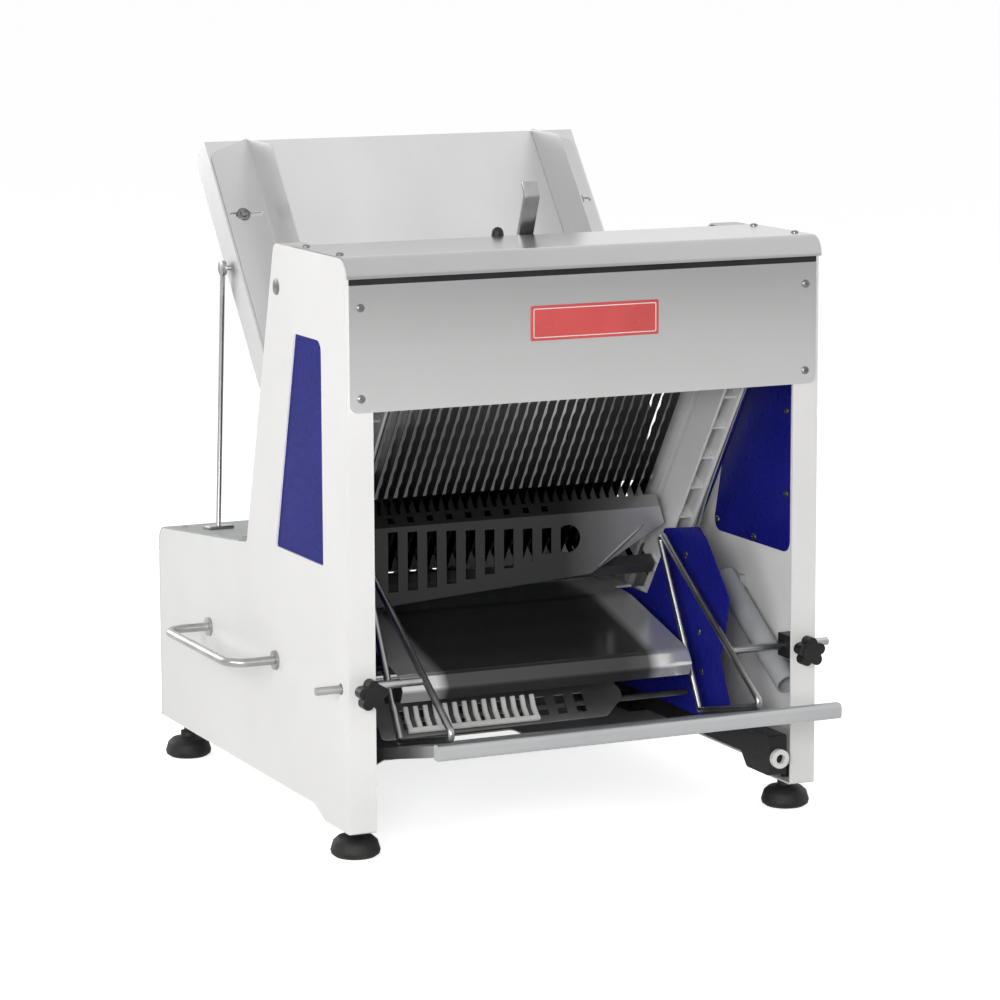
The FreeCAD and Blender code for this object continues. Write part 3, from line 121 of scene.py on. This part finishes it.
# each finish: a dark and a light tone, or tones at stops along one axis and how uneven they are
# (on the front panel, slide, comb and blades these stops are painted reflection and painted shade);
# metallic; range of roughness; stretch and size of the clouds; stretch and size of the grain;
# strength and depth of the relief; and, where they differ from grainValues, gloss and the tone of
# the edge, which is how bright it is at grazing angles
finishValues = {
    "whiteEnamel": dict(dark=(0.75, 0.745, 0.73), light=(0.79, 0.785, 0.775), metal=0,
                        rough=(0.30, 0.42), cloud=(1, 1, 1), cloudScale=5,
                        grain=(1, 1, 1), grainScale=420, strength=0.04, depth=0.00012, gloss=0.35),
    "blueEnamel": dict(dark=(0.008, 0.010, 0.165), light=(0.012, 0.014, 0.205), metal=0,
                       rough=(0.24, 0.38), cloud=(1, 1, 1), cloudScale=9,
                       grain=(1, 1, 1), grainScale=120, strength=0.02, depth=0.0001, gloss=0.04),
    "greyEnamel": dict(dark=(0.34, 0.35, 0.355), light=(0.42, 0.43, 0.435), metal=0,
                       rough=(0.38, 0.52), cloud=(1, 1, 1), cloudScale=8,
                       grain=(1, 1, 1), grainScale=360, strength=0.14, depth=0.00014),
    "blackEnamel": dict(dark=(0.008, 0.008, 0.009), light=(0.017, 0.017, 0.019), metal=0,
                        rough=(0.34, 0.5), cloud=(1, 1, 1), cloudScale=12,
                        grain=(1, 1, 1), grainScale=420, strength=0.16, depth=0.00014, gloss=0.25),
    "coverSteel": dict(dark=(0.47, 0.47, 0.475), light=(0.52, 0.52, 0.525), metal=1,
                       rough=(0.15, 0.21), cloud=(0.4, 1, 1), cloudScale=5,
                       grain=(3, 260, 260), grainScale=6, strength=0.02, depth=0.00006),
    # front panel: lighter towards the bottom and darker towards the top, a painted reflection of the
    # studio
    "frontSteel": dict(axis="Z", stops=((0.49, 0.62), (0.56, 0.55), (0.625, 0.42)), uneven=0.1,
                       metal=1, rough=(0.30, 0.40), cloud=(0.4, 1, 1), cloudScale=5,
                       grain=(3, 300, 300), grainScale=6, strength=0.04, depth=0.00006),
    "chuteSteel": dict(dark=(0.63, 0.63, 0.63), light=(0.69, 0.69, 0.69), metal=1,
                       rough=(0.34, 0.46), cloud=(1, 0.5, 0.5), cloudScale=6,
                       grain=(3, 240, 240), grainScale=6, strength=0.07, depth=0.00006),
    "guideSteel": dict(dark=(0.56, 0.56, 0.56), light=(0.62, 0.62, 0.62), metal=1,
                       rough=(0.34, 0.46), cloud=(1, 0.5, 0.5), cloudScale=6,
                       grain=(3, 240, 240), grainScale=6, strength=0.05, depth=0.00006),
    # slide: bright at both ends and dark in the middle, a painted reflection of the pale walls at the
    # sides and the dark inside between them
    "slideSteel": dict(axis="X", stops=((-0.2, 0.75), (-0.135, 0.70), (-0.12, 0.08), (0.1, 0.06),
                                        (0.13, 0.10), (0.145, 0.72), (0.2, 0.80)), uneven=0.02,
                       metal=0.65, rough=(0.17, 0.22), gloss=0.2, cloud=(1, 1, 1), cloudScale=7,
                       grain=(4, 200, 200), grainScale=6, strength=0.02, depth=0.00004),
    # upper comb and press comb: dark, partly the steel and partly a painted reflection of the dark
    # inside; lighter towards the right end, a painted reflection of the pale right wall
    "combSteel": dict(axis="X", stops=((-0.2, 0.045), (0.08, 0.05), (0.13, 0.16), (0.2, 0.44)),
                      uneven=0.04, metal=1, rough=(0.42, 0.54), cloud=(1, 1, 1), cloudScale=10,
                      grain=(4, 200, 200), grainScale=6, strength=0.08, depth=0.00008),
    "lowCombSteel": dict(dark=(0.15, 0.15, 0.15), light=(0.20, 0.20, 0.198), metal=0.85,
                         rough=(0.36, 0.46), cloud=(1, 1, 1), cloudScale=12,
                         grain=(4, 200, 200), grainScale=6, strength=0.06, depth=0.00008),
    "traySteel": dict(dark=(0.45, 0.455, 0.46), light=(0.51, 0.515, 0.52), metal=1,
                      rough=(0.36, 0.48), cloud=(0.6, 1, 1), cloudScale=8,
                      grain=(3, 260, 260), grainScale=6, strength=0.06, depth=0.00006),
    "brightSteel": dict(dark=(0.62, 0.62, 0.62), light=(0.74, 0.74, 0.74), metal=1,
                        rough=(0.16, 0.19), cloud=(1, 1, 1), cloudScale=30,
                        grain=(1, 1, 1), grainScale=220, strength=0.01, depth=0.00005),
    "castMetal": dict(dark=(0.50, 0.51, 0.51), light=(0.62, 0.63, 0.63), metal=0.35,
                      rough=(0.38, 0.54), cloud=(1, 1, 1), cloudScale=18,
                      grain=(1, 1, 1), grainScale=300, strength=0.28, depth=0.0003),
    "wireSteel": dict(dark=(0.33, 0.33, 0.33), light=(0.44, 0.44, 0.44), metal=1,
                      rough=(0.28, 0.30), cloud=(1, 1, 1), cloudScale=30,
                      grain=(1, 1, 1), grainScale=220, strength=0.01, depth=0.00005),
    # pale rails at both sides, dark bars between them
    "frameMetal": dict(axis="X", stops=((-0.25, 0.62), (-0.2035, 0.62), (-0.2025, 0.03),
                                        (0.2025, 0.03), (0.2035, 0.62), (0.25, 0.62)), uneven=0.0,
                       metal=0, rough=(0.38, 0.54), cloud=(1, 1, 1), cloudScale=18,
                       grain=(1, 1, 1), grainScale=300, strength=0.10, depth=0.0002),
    "darkSteel": dict(dark=(0.035, 0.035, 0.035), light=(0.06, 0.06, 0.06), metal=0.6,
                      rough=(0.4, 0.55), cloud=(1, 1, 1), cloudScale=30,
                      grain=(1, 1, 1), grainScale=220, strength=0.04, depth=0.00005),
    # blades: darker towards the bottom, a painted shade of the closed inside behind them
    "bladeSteel": dict(axis="Z", stops=((0.30, 0.02), (0.352, 0.04), (0.42, 0.16), (0.62, 0.30)),
                       uneven=0.03, metal=1, rough=(0.20, 0.34), cloud=(1, 1, 1), cloudScale=26,
                       edge=0.3, grain=(300, 300, 8), grainScale=5, strength=0.06, depth=0.00006),
    "blackPlastic": dict(dark=(0.010, 0.010, 0.011), light=(0.022, 0.022, 0.023), metal=0,
                         rough=(0.36, 0.5), cloud=(1, 1, 1), cloudScale=30,
                         grain=(1, 1, 1), grainScale=900, strength=0.22, depth=0.00012, gloss=0.25),
    "whitePlastic": dict(dark=(0.70, 0.70, 0.68), light=(0.80, 0.80, 0.78), metal=0,
                         rough=(0.34, 0.46), cloud=(1, 1, 1), cloudScale=30,
                         grain=(1, 1, 1), grainScale=700, strength=0.12, depth=0.0001),
    "footRubber": dict(dark=(0.010, 0.010, 0.010), light=(0.026, 0.026, 0.025), metal=0,
                       rough=(0.50, 0.68), cloud=(1, 1, 1), cloudScale=40,
                       grain=(1, 1, 1), grainScale=650, strength=0.30, depth=0.00018, gloss=0.25),
    "beltRubber": dict(dark=(0.012, 0.012, 0.012), light=(0.03, 0.03, 0.028), metal=0,
                       rough=(0.62, 0.8), cloud=(1, 1, 1), cloudScale=60,
                       grain=(500, 60, 60), grainScale=5, strength=0.4, depth=0.0003),
    "screwSteel": dict(dark=(0.16, 0.16, 0.16), light=(0.26, 0.26, 0.26), metal=1,
                       rough=(0.26, 0.38), cloud=(1, 1, 1), cloudScale=120,
                       grain=(1, 1, 1), grainScale=500, strength=0.06, depth=0.00005),
    "redLabel": dict(dark=(0.54, 0.075, 0.072), light=(0.60, 0.085, 0.082), metal=0,
                     rough=(0.26, 0.34), cloud=(1, 1, 1), cloudScale=20,
                     grain=(1, 1, 1), grainScale=60, strength=0.01, depth=0.00003, gloss=0.4),
    "redButton": dict(dark=(0.42, 0.012, 0.012), light=(0.52, 0.02, 0.02), metal=0,
                      rough=(0.22, 0.34), cloud=(1, 1, 1), cloudScale=60,
                      grain=(1, 1, 1), grainScale=900, strength=0.08, depth=0.00005),
    "greenButton": dict(dark=(0.012, 0.20, 0.05), light=(0.02, 0.27, 0.07), metal=0,
                        rough=(0.22, 0.34), cloud=(1, 1, 1), cloudScale=60,
                        grain=(1, 1, 1), grainScale=900, strength=0.08, depth=0.00005),
}


def toneAlong(material, shader, clouds, axis, stops, uneven):
    # tones that follow one direction of the machine, made a little uneven by the clouds; on the front
    # panel, slide, comb and blades these tones are painted reflection and painted shade
    tree = material.node_tree
    low, high = stops[0][0], stops[-1][0]
    place = tree.nodes.new("ShaderNodeTexCoord")
    split = tree.nodes.new("ShaderNodeSeparateXYZ")
    spread = tree.nodes.new("ShaderNodeMapRange")
    spread.inputs["From Min"].default_value = low
    spread.inputs["From Max"].default_value = high
    sway = tree.nodes.new("ShaderNodeMath")
    sway.operation = "MULTIPLY_ADD"
    sway.inputs[1].default_value = uneven
    ramp = tree.nodes.new("ShaderNodeValToRGB")
    while len(ramp.color_ramp.elements) < len(stops):
        ramp.color_ramp.elements.new(0.5)   # its place is set below
    for element, (position, tone) in zip(ramp.color_ramp.elements, stops):
        element.position = (position - low) / (high - low)
        element.color = (tone, tone, tone * grainValues["warmth"], 1)
    tree.links.new(place.outputs["Object"], split.inputs[0])
    tree.links.new(split.outputs[axis], spread.inputs["Value"])
    tree.links.new(clouds, sway.inputs[0])
    tree.links.new(spread.outputs["Result"], sway.inputs[2])
    tree.links.new(sway.outputs[0], ramp.inputs["Fac"])
    tree.links.new(ramp.outputs["Color"], shader.inputs["Base Color"])


def makeFinish(name, values):
    material, shader = startFinish(name, values["metal"], sum(values["rough"]) / 2)
    shader.inputs["Specular IOR Level"].default_value = values.get("gloss", grainValues["gloss"])
    edge = values.get("edge", grainValues["edge"])
    shader.inputs["Specular Tint"].default_value = (edge, edge, edge, 1)
    clouds = stretchedNoise(material, values["cloud"], values["cloudScale"], grainValues["cloudDetail"])
    grain = stretchedNoise(material, values["grain"], values["grainScale"], grainValues["grainDetail"])
    if "stops" in values:
        toneAlong(material, shader, clouds, values["axis"], values["stops"], values["uneven"])
    else:
        tint(material, shader, clouds, values["dark"], values["light"])
    sheen(material, shader, grain, *values["rough"])
    relief(material, shader, grain, values["strength"], values["depth"])
    return material


finishes = {name: makeFinish(name, values) for name, values in finishValues.items()}
print("finishes made:", len(finishes))

# finish of every node of the frame
nodeFinish = {
    "whiteEnamel": ["left_side_panel", "right_side_panel"],
    "whitePlastic": ["rail_end_bushes", "comb_fingers"],
    "blueEnamel": ["left_window_plate", "right_window_plate", "left_cheek_plate",
                   "right_cheek_plate"],
    "greyEnamel": ["base_floor_pan", "rear_cover", "base_top_cover", "brace_tubes",
                   "switch_box"],
    "darkSteel": ["cross_bars", "motor", "drive_stands"],
    "blackEnamel": ["left_base_rail", "right_base_rail", "cover_gap_strip"],
    "coverSteel": ["top_cover"],
    # the front panel's tones along Z are a painted reflection
    "frontSteel": ["front_panel"],
    "chuteSteel": ["chute_plate"],
    "guideSteel": ["left_chute_guide", "right_chute_guide"],
    # the slide's tones along X are a painted reflection
    "slideSteel": ["outfeed_slide"],
    # the combs' tones along X are partly a painted reflection
    "combSteel": ["comb_plate", "press_comb"],
    "lowCombSteel": ["lower_comb"],
    "traySteel": ["front_tray"],
    "brightSteel": ["frame_guide_rods", "crankshaft"],
    "screwSteel": ["guide_screws", "press_shaft"],
    "wireSteel": ["chute_stays", "left_outfeed_guide", "right_outfeed_guide",
                  "left_carry_handle", "right_carry_handle", "press_lever"],
    "frameMetal": ["blade_frame_a", "blade_frame_b"],
    "castMetal": ["connecting_rods_a", "connecting_rods_b", "crank_pulley", "motor_pulley"],
    # the blades' tones along Z are a painted shade
    "bladeSteel": ["blades_a", "blades_b"],
    "blackPlastic": ["lever_stop_knob", "left_star_knob", "right_star_knob",
                     "guide_clamp_blocks", "cable_gland"],
    "footRubber": ["front_left_foot", "front_right_foot", "rear_left_foot", "rear_right_foot"],
    "beltRubber": ["drive_belt"],
    "redLabel": ["name_plate"],
    "redButton": ["stop_button"],
    "greenButton": ["start_button"],
}

# softened edges: widths of the rounding in metres, and the sharpest angle left alone
edgeValues = dict(sheet=0.00025, block=0.0006, moulded=0.0010, angle=38, segments=2, weld=0.00001,
                  flatness=80)
edgeOf = {"blackPlastic": "moulded", "footRubber": "moulded", "castMetal": "block",
          "frameMetal": "block", "redButton": "block", "greenButton": "block",
          "whitePlastic": "block"}
roundFinishes = ("wireSteel", "brightSteel", "screwSteel", "footRubber")   # no flat faces to keep


def softenEdges(piece, width, isRound):
    weld = piece.modifiers.new("joinFacets", "WELD")
    weld.merge_threshold = edgeValues["weld"]
    bevel = piece.modifiers.new("softEdge", "BEVEL")
    bevel.width = width
    bevel.segments = edgeValues["segments"]
    bevel.limit_method = "ANGLE"
    bevel.angle_limit = math.radians(edgeValues["angle"])
    piece.data.polygons.foreach_set("use_smooth", [True] * len(piece.data.polygons))
    if not isRound:
        evened = piece.modifiers.new("flatFaces", "WEIGHTED_NORMAL")
        evened.mode = "FACE_AREA"
        evened.weight = edgeValues["flatness"]


for finishName, members in nodeFinish.items():
    for member in members:
        nodes[member].data.materials.clear()
        nodes[member].data.materials.append(finishes[finishName])
        softenEdges(nodes[member], edgeValues[edgeOf.get(finishName, "sheet")],
                    finishName in roundFinishes)
finished = {member for members in nodeFinish.values() for member in members}
print("nodes without a finish:", sorted(set(nodes) - finished))


# screws: a domed head with a cross recess

def lathe(bm, profile, segments):
    rings = []
    for radius, height in profile:
        if radius < nearZero:
            rings.append([bm.verts.new((0, 0, height))])
        else:
            rings.append([bm.verts.new((radius * math.cos(math.tau * i / segments),
                                        radius * math.sin(math.tau * i / segments), height))
                          for i in range(segments)])
    for lower, upper in zip(rings, rings[1:]):
        for i in range(segments):
            j = (i + 1) % segments
            corners = [lower[i % len(lower)], lower[j % len(lower)],
                       upper[j % len(upper)], upper[i % len(upper)]]
            bm.faces.new(list(dict.fromkeys(corners)))


# the profile and the recess are shares of the head's radius and height, and skew keeps the two
# boxes that cut the recess from sharing faces
screwValues = dict(segments=28, recessWidth=0.22, recessLength=1.15, recessDepth=0.55, skew=1e-5,
                   profile=((0, 0), (1, 0), (1, 0.25), (0.93, 0.62), (0.68, 0.90), (0.35, 1),
                            (0, 1.02)))


def crossHead(radius, height):
    bm = bmesh.new()
    lathe(bm, [(radius * out, height * up) for out, up in screwValues["profile"]],
          screwValues["segments"])
    bmesh.ops.recalc_face_normals(bm, faces=bm.faces)
    piece = linkShape("headBlank", bm)
    cutter = bmesh.new()
    length = radius * screwValues["recessLength"]
    width = radius * screwValues["recessWidth"]
    for turn in (0, math.pi / 2):
        shape = Matrix.Translation((0, 0, height)) @ Matrix.Rotation(turn, 4, "Z")
        shape = shape @ Matrix.Diagonal((length, width + turn * screwValues["skew"],
                                         height * 2 * screwValues["recessDepth"], 1))
        bmesh.ops.create_cube(cutter, size=1, matrix=shape)
    toolPiece = linkShape("crossTool", cutter)
    carve = piece.modifiers.new("recess", "BOOLEAN")
    carve.object = toolPiece
    carve.solver = "EXACT"
    carve.use_self = True
    graph = bpy.context.evaluated_depsgraph_get()
    head = bpy.data.meshes.new_from_object(piece.evaluated_get(graph))
    bpy.data.objects.remove(piece)
    bpy.data.objects.remove(toolPiece)
    return head


def copies(name, template, places, material, body="root"):
    # one piece made of a template set down at each (place, direction)
    bm = bmesh.new()
    for spot, direction in places:
        part = bmesh.new()
        part.from_mesh(template)
        turn = Vector(direction).to_track_quat("Z", "Y").to_matrix().to_4x4()
        part.transform(Matrix.Translation(spot) @ turn)
        spare = bpy.data.meshes.new("spare")
        part.to_mesh(spare)
        part.free()
        bm.from_mesh(spare)
        bpy.data.meshes.remove(spare)
    return settle(linkShape(name, bm), material, body)


headValues = dict(radius=0.0045, height=0.0022, lowHeight=0.0008)   # low where the guides pass
smallHead = crossHead(headValues["radius"], headValues["height"])
lowHead = crossHead(headValues["radius"], headValues["lowHeight"])

panelScrews = dict(across=268, heights=(602, 505), face=-1.5)
copies("front_panel_screws", smallHead,
       [(at(side * panelScrews["across"], panelScrews["face"], height), (0, -1, 0))
        for _, side in sides for height in panelScrews["heights"]],
       finishes["screwSteel"])

coverScrews = dict(across=275, depths=(38, 134), height=655.5)
copies("cover_screws", smallHead,
       [(at(side * coverScrews["across"], depth, coverScrews["height"]), (0, 0, 1))
        for _, side in sides for depth in coverScrews["depths"]],
       finishes["screwSteel"])

cheekScrews = dict(left=((155, 276), (199, 130)), face=200,
                   right=((155, 276), (122, 191), (115, 146), (199, 130)))
windowSpots = ((64, 450), (64, 355), (140, 293), (175, 450), (230, 300))
windowScrews = dict(left=windowSpots, right=windowSpots, face=281.5)
for name, side in sides:
    for label, group, head in (("cheek_screws", cheekScrews, lowHead),
                               ("window_screws", windowScrews, smallHead)):
        copies(f"{name}_{label}", head,
               [(at(side * group["face"], depth, height), (-side, 0, 0))
                for depth, height in group[name]],
               finishes["screwSteel"])

baseScrews = dict(across=(-268, 268), spots=((350, 301.5), (556, 281.4)), lean=0.0976)
copies("base_top_screws", lowHead,
       [(at(across, depth, height), (0, baseScrews["lean"], 1))
        for across in baseScrews["across"] for depth, height in baseScrews["spots"]],
       finishes["screwSteel"])
print("screws made")


# pale line round the blank plate

borderValues = dict(low=(-67, 559), high=(81, 591), round=2.0, width=0.9, face=-2.5, proud=0.15,
                    inner=0.8, cornerSteps=6)


def roundedLoop(low, high, radius, depth, steps):
    points = []
    for cx, cz, start in ((high[0] - radius, high[1] - radius, 0),
                          (low[0] + radius, high[1] - radius, 90),
                          (low[0] + radius, low[1] + radius, 180),
                          (high[0] - radius, low[1] + radius, 270)):
        for step in range(steps + 1):
            angle = math.radians(start + 90 / steps * step)
            points.append(at(cx + radius * math.cos(angle), depth, cz + radius * math.sin(angle)))
    return points


def makeBorder(values):
    bm = bmesh.new()
    low, high, inset = values["low"], values["high"], values["width"]
    rings = []
    for shrink, proud in ((0, 0), (0, values["proud"]), (inset, values["proud"]), (inset, 0)):
        loop = roundedLoop((low[0] + shrink, low[1] + shrink), (high[0] - shrink, high[1] - shrink),
                           values["round"] - shrink * values["inner"], values["face"] - proud,
                           values["cornerSteps"])
        rings.append([bm.verts.new(p) for p in loop])
    for lower, upper in zip(rings, rings[1:] + rings[:1]):
        for i in range(len(lower)):
            j = (i + 1) % len(lower)
            bm.faces.new((lower[i], lower[j], upper[j], upper[i]))
    bmesh.ops.recalc_face_normals(bm, faces=bm.faces)
    return linkShape("label_border", bm)


settle(makeBorder(borderValues), finishes["whitePlastic"])
print("label border made")


# pressed rib along the slanting end of the upper comb

ribValues = dict(start=(174, 306), end=(111, 257), face=209, sunk=0.1, width=5, proud=1.3, taper=0.5,
                 steps=12, turns=8, merge=1e-6)


def makeRib(values):
    # a low ridge, half round in section, that runs out flat at both ends
    bm = bmesh.new()
    ends = [Vector((values[key][0], 0, values[key][1])) for key in ("start", "end")]
    along = (ends[1] - ends[0]).normalized()
    aside = Vector((0, 1, 0)).cross(along)
    rows = []
    for step in range(values["steps"] + 1):
        share = step / values["steps"]
        swell = math.sin(math.pi * share) ** values["taper"]
        middle = ends[0].lerp(ends[1], share)
        row = []
        for turn in range(values["turns"] + 1):
            angle = math.pi * turn / values["turns"]
            spot = middle + aside * values["width"] / 2 * swell * math.cos(angle)
            lift = values["proud"] * swell * math.sin(angle)
            row.append(bm.verts.new(at(spot.x, values["face"] + values["sunk"] - lift, spot.z)))
        rows.append(row)
    for lower, upper in zip(rows, rows[1:]):
        for i in range(values["turns"]):
            bm.faces.new((lower[i], lower[i + 1], upper[i + 1], upper[i]))
        bm.faces.new((lower[-1], lower[0], upper[0], upper[-1]))
    bmesh.ops.remove_doubles(bm, verts=bm.verts, dist=values["merge"])
    bmesh.ops.recalc_face_normals(bm, faces=bm.faces)
    for face in bm.faces:
        face.smooth = True
    return linkShape("comb_plate_rib", bm)


# the rib takes the comb's tones, lighter here by the comb's painted reflection
settle(makeRib(ribValues), finishes["combSteel"])
print("comb rib made")


# dark skirt that closes the gap between the chute and the sloping top of the base; its path is
# given as depth and height, and mitre limits how far a bend's corner may reach out

apronValues = dict(half=196, thick=1.2, clear=0.1, mitre=0.5,
                   path=((282.0, 413.0), (270.8, 398.9), (336, 302.8), (354, 301.0)),
                   screws=(-150, 0, 150), screwDepth=346, screwLift=303.0, facing=(0, 0.0976, 0.995))


def makeApron(values):
    # a bent sheet, drawn from the side and made thick on one side of its path
    path = [Vector(spot) for spot in values["path"]]
    contact, far = [], []
    for i, spot in enumerate(path):
        ahead = (path[min(i + 1, len(path) - 1)] - path[min(i, len(path) - 2)]).normalized()
        behind = (path[max(i, 1)] - path[max(i - 1, 0)]).normalized()
        aside = Vector((-ahead.y, ahead.x)) + Vector((-behind.y, behind.x))
        aside = aside.normalized() / max(values["mitre"], math.sqrt((1 + ahead.dot(behind)) / 2))
        contact.append(spot + aside * values["clear"])
        far.append(spot + aside * (values["clear"] + values["thick"]))
    loop = contact + far[::-1]
    bm = bmesh.new()
    ends = [[bm.verts.new(at(side * values["half"], spot.x, spot.y)) for spot in loop]
            for side in (-1, 1)]
    for i in range(len(loop)):
        j = (i + 1) % len(loop)
        bm.faces.new((ends[0][i], ends[0][j], ends[1][j], ends[1][i]))
    for end in ends:
        for i in range(len(path) - 1):
            bm.faces.new((end[i], end[i + 1], end[-2 - i], end[-1 - i]))
    bmesh.ops.recalc_face_normals(bm, faces=bm.faces)
    return linkShape("chute_apron", bm)


apron = settle(makeApron(apronValues), finishes["blackEnamel"])
softenEdges(apron, edgeValues["sheet"], False)
copies("chute_apron_screws", smallHead,
       [(at(across, apronValues["screwDepth"], apronValues["screwLift"]), apronValues["facing"])
        for across in apronValues["screws"]],
       finishes["screwSteel"])
print("chute apron made")


# camera, floor and lights

cameraValues = dict(place=(-1.798, -3.9295, 1.058), turn=0.429, dip=0.164, roll=-0.004,
                    lens=137.2, sensor=36, reach=200)
cameraData = bpy.data.cameras.new("viewCamera")
cameraData.lens = cameraValues["lens"]
cameraData.sensor_width = cameraValues["sensor"]
cameraData.clip_end = cameraValues["reach"]
camera = link("viewCamera", cameraData)
camera.matrix_world = (Matrix.Translation(cameraValues["place"])
                       @ Matrix.Rotation(-cameraValues["turn"], 4, "Z")
                       @ Matrix.Rotation(math.pi / 2 - cameraValues["dip"], 4, "X")
                       @ Matrix.Rotation(cameraValues["roll"], 4, "Z"))
bpy.context.scene.camera = camera

# lift is the glow that makes the floor white to the camera, and mirrored its share in reflections
floorValues = dict(reach=45, segments=2, colour=(0.88, 0.88, 0.88), rough=0.9, lift=0.74,
                   mirrored=0.55)


def seenRay(tree, mirrored=1.0):
    # one for rays from the camera, and the given share of it for mirror rays
    path = tree.nodes.new("ShaderNodeLightPath")
    mirror = tree.nodes.new("ShaderNodeMath")
    mirror.operation = "MULTIPLY"
    mirror.inputs[1].default_value = mirrored
    either = tree.nodes.new("ShaderNodeMath")
    either.operation = "MAXIMUM"
    tree.links.new(path.outputs["Is Camera Ray"], either.inputs[0])
    tree.links.new(path.outputs["Is Glossy Ray"], mirror.inputs[0])
    tree.links.new(mirror.outputs[0], either.inputs[1])
    return either.outputs[0]


def makeFloor(values):
    bm = bmesh.new()
    bmesh.ops.create_grid(bm, x_segments=values["segments"], y_segments=values["segments"],
                          size=values["reach"])
    floor = linkShape("studioFloor", bm)
    material, shader = startFinish("paleFloor", 0, values["rough"])
    shader.inputs["Base Color"].default_value = (*values["colour"], 1)
    shader.inputs["Specular IOR Level"].default_value = 0
    tree = material.node_tree
    glow = tree.nodes.new("ShaderNodeEmission")
    glow.inputs["Color"].default_value = (1, 1, 1, 1)
    scale = tree.nodes.new("ShaderNodeMath")
    scale.operation = "MULTIPLY"
    scale.inputs[1].default_value = values["lift"]
    blend = tree.nodes.new("ShaderNodeAddShader")
    tree.links.new(seenRay(tree, values["mirrored"]), scale.inputs[0])
    tree.links.new(scale.outputs[0], glow.inputs["Strength"])
    tree.links.new(shader.outputs[0], blend.inputs[0])
    tree.links.new(glow.outputs[0], blend.inputs[1])
    tree.links.new(blend.outputs[0], tree.nodes["Material Output"].inputs["Surface"])
    floor.data.materials.append(material)


makeFloor(floorValues)

worldValues = dict(strength=0.28, colour=(1, 1, 1), backdrop=1)
world = bpy.data.worlds.new("studioWorld")
world.use_nodes = True
bpy.context.scene.world = world
tree = world.node_tree
sky = tree.nodes["Background"]
sky.inputs["Color"].default_value = (*worldValues["colour"], 1)
sky.inputs["Strength"].default_value = worldValues["strength"]
backdrop = tree.nodes.new("ShaderNodeBackground")
backdrop.inputs["Color"].default_value = (1, 1, 1, 1)
backdrop.inputs["Strength"].default_value = worldValues["backdrop"]
pick = tree.nodes.new("ShaderNodeMixShader")
tree.links.new(seenRay(tree), pick.inputs["Fac"])
tree.links.new(sky.outputs[0], pick.inputs[1])
tree.links.new(backdrop.outputs[0], pick.inputs[2])
tree.links.new(pick.outputs[0], tree.nodes["World Output"].inputs["Surface"])

# places in metres, sizes in metres, powers in watts
lampValues = {
    "keyLamp": dict(place=(-3.6, -1.9, 1.8), aim=(0, 0, 0.35), size=1.8, power=53),
    "frontLamp": dict(place=(-1.9, -3.3, 1.0), aim=(0, 0, 0.3), size=1.2, power=74),
    "sideLamp": dict(place=(3.3, 0.3, 1.8), aim=(0, 0, 0.35), size=2.6, power=22),
    "rearLamp": dict(place=(-1.6, 3.2, 1.6), aim=(0, 0, 0.35), size=2.2, power=38),
}
for name, values in lampValues.items():
    lampData = bpy.data.lights.new(name, "AREA")
    lampData.shape = "DISK"
    lampData.size = values["size"]
    lampData.energy = values["power"]
    lamp = link(name, lampData)
    lamp.location = values["place"]
    aim = Vector(values["aim"]) - Vector(values["place"])
    lamp.rotation_mode = "QUATERNION"
    lamp.rotation_quaternion = aim.to_track_quat("-Z", "Y")

bpy.context.scene.view_settings.view_transform = "Standard"
print("camera, floor and lights set")
